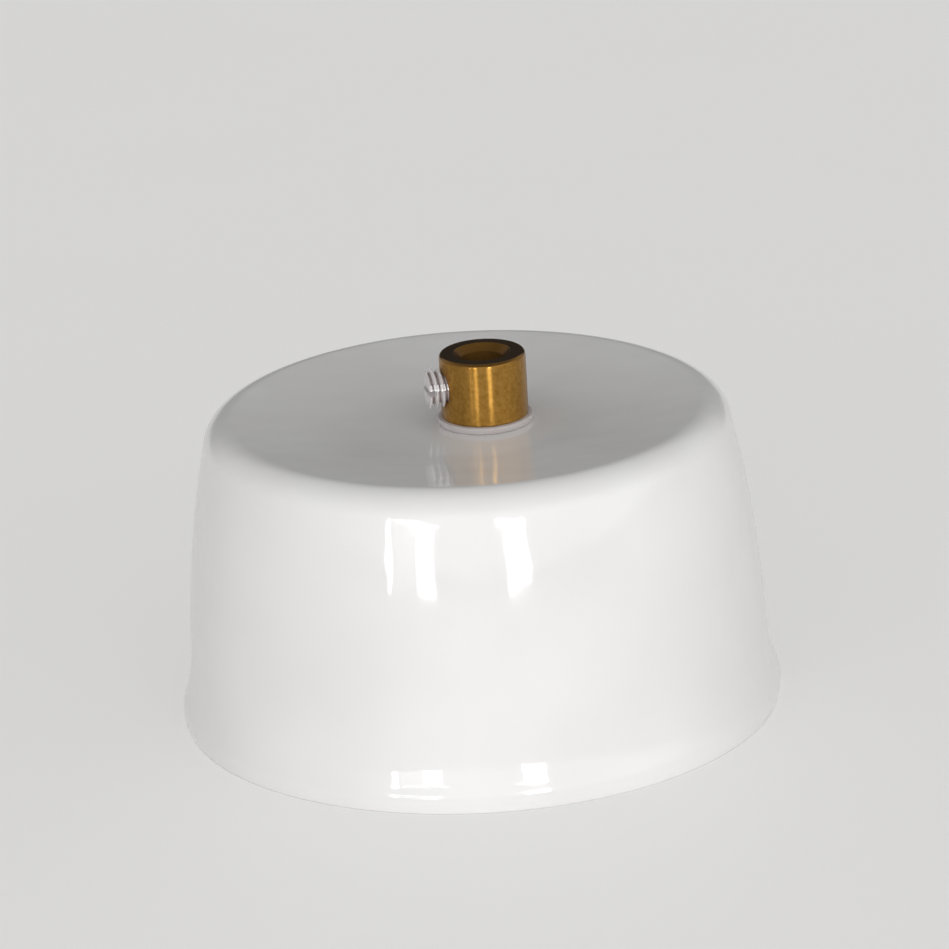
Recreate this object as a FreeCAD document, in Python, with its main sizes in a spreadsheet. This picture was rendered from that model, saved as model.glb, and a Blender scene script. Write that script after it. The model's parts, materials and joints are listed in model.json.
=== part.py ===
"""Ceiling rose: a glazed ceramic cup, a brass cord grip on its crown and the fittings that the cup hides.

Millimetres, +Z up towards the cord grip. The origin is the centre of the cup's rim, in the plane that
lies against the ceiling, so the rose stands rim down on a table as photographed.
"""

import FreeCAD, Part
import Sketcher
import math
import os

SIZES = {
    # ceramic cup, from rim to crown
    "rim_radius": 52.5,
    "cup_wall": 4.0,
    "lip_round": 5.0,
    "lip_rise": 1.9,
    "foot_inset": 0.3,
    "foot_ease": 0.7,
    "waist_inset": 2.0,
    "waist_rise": 13.0,
    "side_lean": 2.0,
    "shoulder_draw": 6.6,
    "shoulder_round": 5.0,
    "ridge_height": 54.0,
    "dish_depth": 2.8,
    "slope_ends": 9.2,
    "seat_radius": 12.0,
    "hole_offset": 3.3,
    # hollow threaded tube
    "tube_radius": 5.0,
    "tube_bore": 3.5,
    "tube_past_nut": 1.2,
    "tube_engagement": 1.6,
    "tube_chamfer": 0.4,
    "hole_clearance": 0.25,
    "thread_clearance": 0.05,
    # clear washer and cord grip on the crown
    "clear_washer_radius": 8.3,
    "clear_washer_thick": 1.2,
    "grip_radius": 7.5,
    "grip_height": 11.2,
    "grip_bore": 3.8,
    "grip_chamfer": 0.6,
    "grip_countersink": 1.2,
    "grip_socket_spare": 0.2,
    # clear grub screw through the grip's side
    "grub_radius": 3.5,
    "grub_length": 6.0,
    "grub_proud": 2.6,
    "grub_chamfer": 0.45,
    "grub_slot_width": 1.1,
    "grub_slot_depth": 1.3,
    "grub_clearance": 0.15,
    # washers and thin nuts on the tube
    "fibre_washer_radius": 10.0,
    "fibre_washer_thick": 1.0,
    "tooth_root_radius": 7.4,
    "tooth_tip_radius": 9.0,
    "tooth_root_width": 1.6,
    "tooth_tip_width": 1.1,
    "tooth_thick": 0.8,
    "tooth_count": 12,
    "nut_flats": 14.0,
    "nut_thick": 3.0,
    "nut_chamfer_angle": 30.0,
    # folded steel strap
    "strap_thick": 1.6,
    "strap_width": 22.0,
    "strap_clearance": 2.2,
    "strap_corner": 5.0,
    "bridge_length": 44.0,
    "bridge_height": 10.0,
    "bend_radius": 1.5,
    "wing_width": 30.0,
    "wing_reach": 31.5,
    "wing_corner": 3.0,
    "slot_end_margin": 3.5,
    "slot_bend_margin": 3.0,
    "slot_width": 4.6,
    # earth terminal on the strap
    "earth_offset": 13.9,
    "earth_radius": 2.0,
    "earth_past_nut": 4.1,
    "earth_head_radius": 3.4,
    "earth_head_height": 2.4,
    "earth_cup_radius": 4.2,
    "earth_cup_height": 1.8,
    "earth_cup_thick": 0.7,
    "earth_nut_flats": 7.0,
    "earth_nut_thick": 2.6,
    # terminal block on the strap's wing
    "pole_count": 3,
    "pole_pitch": 9.0,
    "block_depth": 17.0,
    "block_height": 8.6,
    "block_end": 0.6,
    "block_round": 1.0,
    "block_set_back": 1.2,
    "tower_radius": 3.1,
    "tower_height": 12.8,
    "tower_spacing": 8.4,
    "barrel_rise": 4.3,
    "barrel_radius": 2.4,
    "barrel_bore": 1.5,
    "barrel_length": 15.6,
    "barrel_clearance": 0.1,
    # clamping screws of the terminals and fixing screws of the block
    "clamp_radius": 1.45,
    "clamp_length": 4.6,
    "clamp_head_radius": 1.75,
    "clamp_head_height": 1.5,
    "clamp_clearance": 0.1,
    "fixing_radius": 1.45,
    "fixing_head_radius": 2.6,
    "fixing_head_height": 1.7,
    "fixing_past_wing": 1.0,
    "fixing_clearance": 0.15,
    "head_chamfer": 0.3,
    "driver_slot_width": 0.7,
    "driver_slot_depth": 0.8,
}

# How far a cut runs past the face that it opens, and how large a sketch is before its sizes hold it
PAST = 1.0
ROUGH = 10.0

doc = FreeCAD.newDocument("ceiling_rose")
sheet = doc.addObject("Spreadsheet::Sheet", "size")
for row, (alias, number) in enumerate(SIZES.items(), 1):
    sheet.set(f"A{row}", alias)
    sheet.set(f"B{row}", str(number))
    sheet.setAlias(f"B{row}", alias)
doc.recompute()

# Heights and places that more than one piece shares, as formulas in the sheet's names
CROWN = "(size.ridge_height - size.dish_depth)"
SHOULDER_ACROSS = "(size.rim_radius - size.shoulder_draw - size.shoulder_round)"
SLOPE_LENGTH = f"({SHOULDER_ACROSS} - size.seat_radius - size.slope_ends)"
CROWN_UNDER = f"({CROWN} - size.cup_wall)"
FIBRE_UNDER = f"({CROWN_UNDER} - size.fibre_washer_thick)"
GRIP_BASE = f"({CROWN} + size.clear_washer_thick)"
GRUB_AXIS = f"({GRIP_BASE} + size.grip_height / 2)"
BRIDGE_UNDER = "(size.bridge_height - size.strap_thick)"
FOOT_INSIDE = "(size.rim_radius - size.cup_wall - size.foot_inset)"
STRAP_END = f"({FOOT_INSIDE} - size.strap_clearance - size.hole_offset)"
SLOT_MARGINS = "(size.slot_end_margin + size.slot_bend_margin)"
SLOT_LENGTH = f"({STRAP_END} - size.bridge_length / 2 - {SLOT_MARGINS})"
SLOT_PLACE = f"({STRAP_END} - size.slot_end_margin - {SLOT_LENGTH} / 2)"
TUBE_FOOT = f"({BRIDGE_UNDER} - size.nut_thick - size.tube_past_nut)"
TUBE_LENGTH = f"({GRIP_BASE} + size.tube_engagement - {TUBE_FOOT})"
TUBE_HOLE = "(size.tube_radius + size.hole_clearance)"
THREAD_HOLE = "(size.tube_radius + size.thread_clearance)"
EARTH_ACROSS = "(size.hole_offset - size.earth_offset)"
EARTH_LENGTH = "(size.earth_cup_thick + size.strap_thick + size.earth_nut_thick + size.earth_past_nut)"
BLOCK_LENGTH = "(size.pole_count * size.pole_pitch + 2 * size.block_end)"
BLOCK_PLACE = "(size.wing_reach - size.block_set_back - size.block_depth / 2)"
FIRST_POLE = "(-(size.pole_count - 1) * size.pole_pitch / 2)"
CLAMP_SEAT = "(size.barrel_rise + size.barrel_bore + size.clamp_length)"
FIXING_LENGTH = "(size.block_height + size.strap_thick + size.fixing_past_wing)"

ALONG_Y = FreeCAD.Vector(0, 1, 0)
ALONG_Z = FreeCAD.Vector(0, 0, 1)
parts = []


def size(alias):
    """A size as a plain number."""
    return float(SIZES[alias])


def origin_feature(body, role):
    """One of the body's own origin planes or axes."""
    return [feature for feature in body.Origin.OriginFeatures if feature.Role == role][0]


def start(node, across="size.hole_offset", along="0", height="0"):
    """An empty body for one piece, placed by three formulas, and listed under its node's name."""
    body = doc.addObject("PartDesign::Body", node)
    body.Label = node
    for axis, formula in zip("xyz", (across, along, height)):
        body.setExpression(f"Placement.Base.{axis}", formula)
    parts.append(body)
    return body


def sketch_on(body, plane, name, height=None):
    """A sketch on one of the body's origin planes, raised along the plane's normal by a formula."""
    sketch = body.newObject("Sketcher::SketchObject", name)
    sketch.AttachmentSupport = [(origin_feature(body, plane), "")]
    sketch.MapMode = "FlatFace"
    if height:
        sketch.setExpression("AttachmentOffset.Base.z", height)
    return sketch


def bind(sketch, kind, formula, *places, begin=1.0):
    """A dimension of the sketch that follows a formula."""
    number = sketch.addConstraint(Sketcher.Constraint(kind, *places, begin))
    sketch.setExpression(f"Constraints[{number}]", formula)


def unit(angle):
    """The direction at an angle from the sketch's first axis."""
    return FreeCAD.Vector(math.cos(angle), math.sin(angle), 0)


def arc(centre, radius, begin, end):
    """An arc, counterclockwise."""
    return Part.ArcOfCircle(Part.Circle(centre, ALONG_Z, radius), begin, end)


def add_outline(sketch, corners):
    """A closed outline of straight lines, whose corners are pairs of formulas."""
    count = len(corners)
    first = len(sketch.Geometry)
    rough = [unit(2 * math.pi * index / count) * ROUGH for index in range(count)]
    for index in range(count):
        sketch.addGeometry(Part.LineSegment(rough[index], rough[(index + 1) % count]), False)
    for index in range(count):
        joined = Sketcher.Constraint("Coincident", first + index, 2, first + (index + 1) % count, 1)
        sketch.addConstraint(joined)
    for index, (across, up) in enumerate(corners):
        bind(sketch, "DistanceX", across, -1, 1, first + index, 1)
        bind(sketch, "DistanceY", up, -1, 1, first + index, 1)


def add_rectangle(sketch, left, right, low, high):
    """A rectangle between four formulas."""
    add_outline(sketch, [(left, low), (right, low), (right, high), (left, high)])


def add_circle(sketch, radius, across="0", up="0"):
    """A circle with its radius and centre as formulas."""
    circle = sketch.addGeometry(Part.Circle(FreeCAD.Vector(1, 1, 0), ALONG_Z, 2), False)
    bind(sketch, "Radius", radius, circle, begin=2.0)
    bind(sketch, "DistanceX", across, -1, 1, circle, 3)
    bind(sketch, "DistanceY", up, -1, 1, circle, 3)


def add_slot(sketch, centre, length, width):
    """A straight slot with round ends along the sketch's first axis, about a formula's place on it."""
    half, radius = ROUGH / 2, ROUGH / 4
    left, right = unit(math.pi) * half, unit(0) * half
    lift = unit(math.pi / 2) * radius
    first = sketch.addGeometry(arc(left, radius, math.pi / 2, 3 * math.pi / 2), False)
    sketch.addGeometry(Part.LineSegment(left - lift, right - lift), False)
    sketch.addGeometry(arc(right, radius, -math.pi / 2, math.pi / 2), False)
    sketch.addGeometry(Part.LineSegment(right + lift, left + lift), False)
    for one, place, other, other_place in ((0, 2, 1, 1), (1, 2, 2, 1), (2, 2, 3, 1), (3, 2, 0, 1)):
        meeting = Sketcher.Constraint("Tangent", first + one, place, first + other, other_place)
        sketch.addConstraint(meeting)
    sketch.addConstraint(Sketcher.Constraint("Equal", first, first + 2))
    bind(sketch, "Radius", f"{width} / 2", first, begin=radius)
    for end, sign in ((first, "-"), (first + 2, "+")):
        bind(sketch, "DistanceX", f"{centre} {sign} ({length} - {width}) / 2", -1, 1, end, 3)
        bind(sketch, "DistanceY", "0", -1, 1, end, 3)


def pad(body, sketch, length, midplane=False):
    """Thickens a sketch into a solid by a formula."""
    feature = body.newObject("PartDesign::Pad", sketch.Name + "_pad")
    feature.Profile = sketch
    feature.Midplane = midplane
    feature.setExpression("Length", length)
    return feature


def cut(body, sketch, length=None, midplane=False, reverse=False):
    """Cuts a sketch out of the solid, right through unless a depth is given, and checks that it cut."""
    doc.recompute()
    before = body.Shape.Volume
    feature = body.newObject("PartDesign::Pocket", sketch.Name + "_cut")
    feature.Profile = sketch
    feature.Midplane = midplane
    feature.Reversed = reverse
    if length:
        feature.setExpression("Length", length)
    else:
        feature.Type = "ThroughAll"
    doc.recompute()
    if body.Shape.Volume >= before:
        raise ValueError(f"{sketch.Name} cuts nothing")
    return feature


def turn(body, sketch, kind="Revolution", axis="V_Axis"):
    """Turns a sketch about one of its own axes, as a solid or as a groove."""
    feature = body.newObject(f"PartDesign::{kind}", sketch.Name + "_turned")
    feature.Profile = sketch
    feature.ReferenceAxis = (sketch, [axis])
    feature.Angle = 360
    return feature


def repeat_poles(body, feature):
    """Repeats a feature of the first pole at every pole."""
    row = body.newObject("PartDesign::LinearPattern", feature.Name + "_row")
    row.Originals = [feature]
    row.Direction = (origin_feature(body, "X_Axis"), [""])
    row.setExpression("Length", "(size.pole_count - 1) * size.pole_pitch")
    row.setExpression("Occurrences", "size.pole_count")
    body.Tip = row


def edges_at(body, places, direction):
    """Names of the straight edges that run one way and pass through one of the given places."""
    found = []
    for number, edge in enumerate(body.Shape.Edges, 1):
        along = edge.Vertexes[-1].Point - edge.Vertexes[0].Point
        if along.Length < 1e-6 or abs(along.normalize().dot(direction)) < 0.999:
            continue
        middle = edge.CenterOfMass - body.Placement.Base
        flat = middle - direction * middle.dot(direction)
        if any((flat - place).Length < 1e-3 for place in places):
            found.append(f"Edge{number}")
    return found


def round_edges(body, name, places, direction, radius):
    """Rounds the body's straight edges at the given places."""
    doc.recompute()
    base = body.Tip
    feature = body.newObject("PartDesign::Fillet", name)
    feature.Base = (base, edges_at(body, places, direction))
    feature.setExpression("Radius", radius)
    doc.recompute()


def turned(node, corners, across="size.hole_offset", along="0", height="0"):
    """A piece turned about its own upright axis from one straight-sided outline."""
    body = start(node, across, along, height)
    section = sketch_on(body, "XZ_Plane", node + "_section")
    add_outline(section, corners)
    turn(body, section)
    return body


def ring(node, inner, outer, thick, height):
    """A plain flat washer."""
    turned(node, [(inner, "0"), (outer, "0"), (outer, thick), (inner, thick)], height=height)


def slotted_screw(node, shank, length, head, head_height, across, along, height):
    """A pan-head screw with a driver slot, whose shank hangs below the head's seat at its own origin."""
    body = turned(
        node,
        [
            ("0", f"-{length}"),
            (f"{shank} - size.head_chamfer", f"-{length}"),
            (shank, f"-{length} + size.head_chamfer"),
            (shank, "0"),
            (head, "0"),
            (head, f"{head_height} - size.head_chamfer"),
            (f"{head} - size.head_chamfer", head_height),
            ("0", head_height),
        ],
        across,
        along,
        height,
    )
    slot = sketch_on(body, "XZ_Plane", node + "_slot")
    half = "size.driver_slot_width / 2"
    floor = f"{head_height} - size.driver_slot_depth"
    add_rectangle(slot, f"-{half}", half, floor, f"{head_height} + {PAST}")
    cut(body, slot, f"2 * ({head} + {PAST})", midplane=True)


def hex_nut(node, flats, thick, bore, across, height):
    """A six-sided nut with its corners chamfered at both ends, standing on its own origin."""
    body = start(node, across, "0", height)
    plan = sketch_on(body, "XY_Plane", node + "_plan")
    flat, side, corner = f"{flats} / 2", f"{flats} / sqrt(12)", f"{flats} / sqrt(3)"
    add_outline(
        plan,
        [
            (flat, f"-{side}"),
            (flat, side),
            ("0", corner),
            (f"-{flat}", side),
            (f"-{flat}", f"-{side}"),
            ("0", f"-{corner}"),
        ],
    )
    pad(body, plan, thick)
    out = f"{corner} + {PAST}"
    fall = f"({out} - {flat}) * tan(size.nut_chamfer_angle)"
    chamfers = sketch_on(body, "XZ_Plane", node + "_chamfers")
    add_outline(chamfers, [(flat, thick), (out, f"{thick} - {fall}"), (out, thick)])
    add_outline(chamfers, [(flat, "0"), (out, "0"), (out, fall)])
    turn(body, chamfers, "Groove")
    hole = sketch_on(body, "XY_Plane", node + "_hole")
    add_circle(hole, bore)
    cut(body, hole, reverse=True)


def tube_nut(node, height):
    """One of the thin nuts that run on the threaded tube."""
    hex_nut(node, "size.nut_flats", "size.nut_thick", THREAD_HOLE, "size.hole_offset", height)


def toothed_washer(node, height):
    """A lock washer with teeth round its outside, standing on its own origin."""
    body = start(node, height=height)
    plan = sketch_on(body, "XY_Plane", node + "_ring")
    add_circle(plan, "size.tooth_root_radius")
    add_circle(plan, TUBE_HOLE)
    pad(body, plan, "size.tooth_thick")
    tooth = sketch_on(body, "XY_Plane", node + "_tooth")
    root, tip = "size.tooth_root_radius - size.tooth_thick", "size.tooth_tip_radius"
    wide, narrow = "size.tooth_root_width / 2", "size.tooth_tip_width / 2"
    add_outline(tooth, [(root, f"-{wide}"), (tip, f"-{narrow}"), (tip, narrow), (root, wide)])
    first = pad(body, tooth, "size.tooth_thick")
    teeth = body.newObject("PartDesign::PolarPattern", node + "_teeth")
    teeth.Originals = [first]
    teeth.Axis = (tooth, ["N_Axis"])
    teeth.Angle = 360
    teeth.setExpression("Occurrences", "size.tooth_count")
    body.Tip = teeth


def cup_section(sketch):
    """The cup's half section: a lip, a flare, a bowed side, a round shoulder and a dished crown.

    The arcs are drawn where they fall for the sheet's sizes, and every one is then held by its
    radius, its centre or a tangent. The dish takes the radius that leaves its straight slope
    slope_ends shorter than the room between the seat and the shoulder's centre. The inner wall
    keeps the same centres, one wall's thickness in.
    """
    wall, lip = size("cup_wall"), size("lip_round")
    lean = math.radians(size("side_lean"))
    shoulder = size("shoulder_round")
    seat, ease = size("seat_radius"), size("foot_ease")
    crown = size("ridge_height") - size("dish_depth")

    def point(across, up):
        return FreeCAD.Vector(across, up, 0)

    # centres, from the lip up
    at_lip = point(size("rim_radius") - lip, size("lip_rise"))
    waist = point(size("rim_radius") - size("waist_inset"), size("waist_rise"))
    shoulder_across = size("rim_radius") - size("shoulder_draw") - shoulder
    at_shoulder = point(shoulder_across, size("ridge_height") - shoulder)
    room, straight = shoulder_across - seat, shoulder_across - seat - size("slope_ends")
    fall = crown - at_shoulder.y
    dish = (room**2 - straight**2 + fall**2 - shoulder**2) / (2 * size("dish_depth"))
    at_dish = point(seat, crown + dish)
    rise = waist - at_lip
    flare = (rise.dot(rise) - lip**2) / (2 * (lip - rise.dot(unit(lean))))
    at_flare = waist + unit(lean) * flare
    drop = waist - at_shoulder
    side = (drop.dot(drop) - shoulder**2) / (2 * (drop.dot(unit(lean)) - shoulder))
    at_side = waist - unit(lean) * side

    # directions in which the arcs meet
    lip_begin = -math.asin(at_lip.y / lip)
    flare_end = math.atan2(at_flare.y - at_lip.y, at_flare.x - at_lip.x)
    side_end = math.atan2(at_shoulder.y - at_side.y, at_shoulder.x - at_side.x)
    span = at_shoulder - at_dish
    slope = math.atan2(span.x, -span.y) - math.acos((dish + shoulder) / span.Length)
    crown_turn = math.pi / 2 + slope
    outward = math.pi + lean
    foot_across = size("rim_radius") - wall - size("foot_inset")
    foot_rise = at_flare.y - math.sqrt((flare + wall) ** 2 - (at_flare.x - foot_across) ** 2)
    foot_turn = math.atan2(at_flare.y - foot_rise, at_flare.x - foot_across)

    def slope_line(shoulder_radius, dish_radius):
        high = at_shoulder + unit(crown_turn) * shoulder_radius
        return Part.LineSegment(high, at_dish - unit(crown_turn) * dish_radius)

    def dish_arc(radius):
        return arc(at_dish, radius, -math.pi / 2, -math.pi / 2 + slope)

    under = crown - wall
    foot_edge = point(foot_across + ease, 0)
    shapes = {
        "lip": arc(at_lip, lip, lip_begin, flare_end),
        "flare": arc(at_flare, flare, outward, math.pi + flare_end),
        "side": arc(at_side, side, lean, side_end),
        "shoulder": arc(at_shoulder, shoulder, side_end, crown_turn),
        "slope": slope_line(shoulder, dish),
        "dish": dish_arc(dish),
        "seat": Part.LineSegment(point(0, crown), point(seat, crown)),
        "axis": Part.LineSegment(point(0, crown), point(0, under)),
        "inner_seat": Part.LineSegment(point(0, under), point(seat, under)),
        "inner_dish": dish_arc(dish + wall),
        "inner_slope": slope_line(shoulder - wall, dish + wall),
        "inner_shoulder": arc(at_shoulder, shoulder - wall, side_end, crown_turn),
        "inner_side": arc(at_side, side - wall, lean, side_end),
        "inner_flare": arc(at_flare, flare + wall, outward, math.pi + foot_turn),
        "foot_line": Part.LineSegment(point(foot_across, foot_rise), point(foot_across, ease)),
        "ease": Part.LineSegment(point(foot_across, ease), foot_edge),
        "foot_ring": Part.LineSegment(foot_edge, at_lip + unit(lip_begin) * lip),
    }
    at = {name: sketch.addGeometry(shape, False) for name, shape in shapes.items()}
    waist_line = Part.LineSegment(waist, waist + unit(lean + math.pi / 2) * ROUGH)
    guide = sketch.addGeometry(waist_line, True)

    def hold(kind, *places):
        sketch.addConstraint(Sketcher.Constraint(kind, *places))

    def place_of(geometry, spot, across, up, near):
        bind(sketch, "DistanceX", across, -1, 1, geometry, spot, begin=near.x)
        bind(sketch, "DistanceY", up, -1, 1, geometry, spot, begin=near.y)

    # outer wall, from the foot up
    hold("PointOnObject", at["lip"], 1, -1)
    bind(sketch, "Radius", "size.lip_round", at["lip"], begin=lip)
    place_of(at["lip"], 3, "size.rim_radius - size.lip_round", "size.lip_rise", at_lip)
    hold("Tangent", at["lip"], 2, at["flare"], 2)
    place_of(at["flare"], 1, "size.rim_radius - size.waist_inset", "size.waist_rise", waist)
    hold("Tangent", at["flare"], 1, at["side"], 1)
    hold("Tangent", at["side"], 1, guide, 1)
    bind(sketch, "Angle", "90 + size.side_lean", guide, begin=math.pi / 2 + lean)
    sketch.addConstraint(Sketcher.Constraint("Distance", guide, ROUGH))
    hold("Tangent", at["side"], 2, at["shoulder"], 1)
    bind(sketch, "Radius", "size.shoulder_round", at["shoulder"], begin=shoulder)
    place_of(
        at["shoulder"],
        3,
        SHOULDER_ACROSS,
        "size.ridge_height - size.shoulder_round",
        at_shoulder,
    )
    hold("Tangent", at["shoulder"], 2, at["slope"], 1)
    hold("Tangent", at["slope"], 2, at["dish"], 2)
    bind(sketch, "Distance", SLOPE_LENGTH, at["slope"], begin=straight)
    hold("Horizontal", at["seat"])
    hold("PointOnObject", at["seat"], 1, -2)
    place_of(at["seat"], 2, "size.seat_radius", CROWN, point(seat, crown))
    hold("Tangent", at["seat"], 2, at["dish"], 1)

    # inner wall, from the crown down
    hold("Coincident", at["axis"], 1, at["seat"], 1)
    hold("Coincident", at["axis"], 2, at["inner_seat"], 1)
    hold("Horizontal", at["inner_seat"])
    hold("PointOnObject", at["inner_seat"], 1, -2)
    place_of(at["inner_seat"], 2, "size.seat_radius", CROWN_UNDER, point(seat, under))
    for name in ("dish", "shoulder", "side", "flare"):
        hold("Coincident", at["inner_" + name], 3, at[name], 3)
    hold("Coincident", at["inner_seat"], 2, at["inner_dish"], 1)
    hold("Tangent", at["inner_slope"], 2, at["inner_dish"], 2)
    inner_round = "size.shoulder_round - size.cup_wall"
    bind(sketch, "Radius", inner_round, at["inner_shoulder"], begin=shoulder - wall)
    hold("Tangent", at["inner_shoulder"], 2, at["inner_slope"], 1)
    hold("Tangent", at["inner_side"], 2, at["inner_shoulder"], 1)
    hold("Tangent", at["inner_flare"], 1, at["inner_side"], 1)

    # foot
    hold("Coincident", at["inner_flare"], 2, at["foot_line"], 1)
    hold("Vertical", at["foot_line"])
    place_of(at["foot_line"], 2, FOOT_INSIDE, "size.foot_ease", point(foot_across, ease))
    hold("Coincident", at["foot_line"], 2, at["ease"], 1)
    hold("PointOnObject", at["ease"], 2, -1)
    ease_across = f"{FOOT_INSIDE} + size.foot_ease"
    bind(sketch, "DistanceX", ease_across, -1, 1, at["ease"], 2, begin=foot_edge.x)
    hold("Coincident", at["ease"], 2, at["foot_ring"], 1)
    hold("Coincident", at["foot_ring"], 2, at["lip"], 1)


# Ceramic cup, cast in one piece, with one hole pierced a little off the middle of its crown
cup = start("ceramic_cover", across="0")
cup_sketch = sketch_on(cup, "XZ_Plane", "cup_section")
cup_section(cup_sketch)
turn(cup, cup_sketch)
cup_hole = sketch_on(cup, "XY_Plane", "crown_hole")
add_circle(cup_hole, TUBE_HOLE, "size.hole_offset")
cut(cup, cup_hole, reverse=True)

# Clear washer between the glaze and the brass
ring("clear_washer", TUBE_HOLE, "size.clear_washer_radius", "size.clear_washer_thick", CROWN)

# Brass cord grip: a turned sleeve with a cord bore above a tapped socket for the tube
socket_top = "size.tube_engagement + size.grip_socket_spare"
grip = turned(
    "cord_grip",
    [
        (THREAD_HOLE, "0"),
        ("size.grip_radius", "0"),
        ("size.grip_radius", "size.grip_height - size.grip_chamfer"),
        ("size.grip_radius - size.grip_chamfer", "size.grip_height"),
        ("size.grip_bore + size.grip_countersink", "size.grip_height"),
        ("size.grip_bore", "size.grip_height - size.grip_countersink"),
        ("size.grip_bore", socket_top),
        (THREAD_HOLE, socket_top),
    ],
    height=GRIP_BASE,
)
grub_hole = sketch_on(grip, "YZ_Plane", "grub_hole")
add_circle(grub_hole, "size.grub_radius + size.grub_clearance", "0", "size.grip_height / 2")
cut(grip, grub_hole, f"size.grip_radius + {PAST}")

# Clear grub screw: lies along X, its slotted end proud of the grip on the -X side
grub = start("grip_screw", "size.hole_offset - size.grip_radius - size.grub_proud", "0", GRUB_AXIS)
grub_section = sketch_on(grub, "XZ_Plane", "grub_section")
add_outline(
    grub_section,
    [
        ("0", "0"),
        ("0", "size.grub_radius - size.grub_chamfer"),
        ("size.grub_chamfer", "size.grub_radius"),
        ("size.grub_length - size.grub_chamfer", "size.grub_radius"),
        ("size.grub_length", "size.grub_radius - size.grub_chamfer"),
        ("size.grub_length", "0"),
    ],
)
turn(grub, grub_section, axis="H_Axis")
grub_slot = sketch_on(grub, "XZ_Plane", "grub_slot")
slot_half = "size.grub_slot_width / 2"
add_rectangle(grub_slot, f"-{PAST}", "size.grub_slot_depth", f"-{slot_half}", slot_half)
cut(grub, grub_slot, f"2 * (size.grub_radius + {PAST})", midplane=True)

# Hollow threaded tube that hangs the cup from the strap
turned(
    "threaded_tube",
    [
        ("size.tube_bore", "0"),
        ("size.tube_radius - size.tube_chamfer", "0"),
        ("size.tube_radius", "size.tube_chamfer"),
        ("size.tube_radius", f"{TUBE_LENGTH} - size.tube_chamfer"),
        ("size.tube_radius - size.tube_chamfer", TUBE_LENGTH),
        ("size.tube_bore", TUBE_LENGTH),
    ],
    height=TUBE_FOOT,
)

# Fibre washer, lock washer and nut that clamp the cup's crown from inside
ring("fibre_washer", TUBE_HOLE, "size.fibre_washer_radius", "size.fibre_washer_thick", FIBRE_UNDER)
toothed_washer("cover_lock_washer", f"{FIBRE_UNDER} - size.tooth_thick")
tube_nut("cover_nut", f"{FIBRE_UNDER} - size.tooth_thick - size.nut_thick")

# Folded steel strap: two slotted feet on the ceiling, a raised bridge and a wing for the terminals
strap = start("strap_bracket")
strap_side = sketch_on(strap, "XZ_Plane", "strap_side")
bridge_end = "size.bridge_length / 2"
inside_end = f"({bridge_end} - size.strap_thick)"
add_outline(
    strap_side,
    [
        (f"-{STRAP_END}", "0"),
        (f"-{inside_end}", "0"),
        (f"-{inside_end}", BRIDGE_UNDER),
        (inside_end, BRIDGE_UNDER),
        (inside_end, "0"),
        (STRAP_END, "0"),
        (STRAP_END, "size.strap_thick"),
        (bridge_end, "size.strap_thick"),
        (bridge_end, "size.bridge_height"),
        (f"-{bridge_end}", "size.bridge_height"),
        (f"-{bridge_end}", "size.strap_thick"),
        (f"-{STRAP_END}", "size.strap_thick"),
    ],
)
pad(strap, strap_side, "size.strap_width", midplane=True)

strap_end = size("rim_radius") - size("cup_wall") - size("foot_inset")
strap_end -= size("strap_clearance") + size("hole_offset")
inner_bends, outer_bends, foot_corners, wing_corners = [], [], [], []
for hand in (-1, 1):
    outside = hand * size("bridge_length") / 2
    inside = outside - hand * size("strap_thick")
    inner_bends.append(FreeCAD.Vector(outside, 0, size("strap_thick")))
    inner_bends.append(FreeCAD.Vector(inside, 0, size("bridge_height") - size("strap_thick")))
    outer_bends.append(FreeCAD.Vector(outside, 0, size("bridge_height")))
    outer_bends.append(FreeCAD.Vector(inside, 0, 0))
    wing_corners.append(FreeCAD.Vector(hand * size("wing_width") / 2, size("wing_reach"), 0))
    for side_hand in (-1, 1):
        strap_edge = side_hand * size("strap_width") / 2
        foot_corners.append(FreeCAD.Vector(hand * strap_end, strap_edge, 0))
round_edges(strap, "inner_bends", inner_bends, ALONG_Y, "size.bend_radius")
round_edges(strap, "outer_bends", outer_bends, ALONG_Y, "size.bend_radius + size.strap_thick")
round_edges(strap, "foot_corners", foot_corners, ALONG_Z, "size.strap_corner")

wing = sketch_on(strap, "XY_Plane", "wing_plan", BRIDGE_UNDER)
add_rectangle(wing, "-size.wing_width / 2", "size.wing_width / 2", "0", "size.wing_reach")
pad(strap, wing, "size.strap_thick")
round_edges(strap, "wing_corners", wing_corners, ALONG_Z, "size.wing_corner")

strap_holes = sketch_on(strap, "XY_Plane", "strap_holes")
add_circle(strap_holes, TUBE_HOLE)
add_circle(strap_holes, "size.earth_radius", "-size.earth_offset")
for sign in ("-", ""):
    add_circle(strap_holes, "size.fixing_radius", f"{sign}size.pole_pitch / 2", BLOCK_PLACE)
cut(strap, strap_holes, reverse=True)
for slot_name, sign in (("near_slot", "-"), ("far_slot", "")):
    ceiling_slot = sketch_on(strap, "XY_Plane", slot_name)
    add_slot(ceiling_slot, f"{sign}{SLOT_PLACE}", SLOT_LENGTH, "size.slot_width")
    cut(strap, ceiling_slot, reverse=True)

# Lock washer and two nuts that fix the tube to the bridge
toothed_washer("strap_lock_washer", "size.bridge_height")
tube_nut("strap_upper_nut", "size.bridge_height + size.tooth_thick")
tube_nut("strap_lower_nut", f"{BRIDGE_UNDER} - size.nut_thick")

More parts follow.
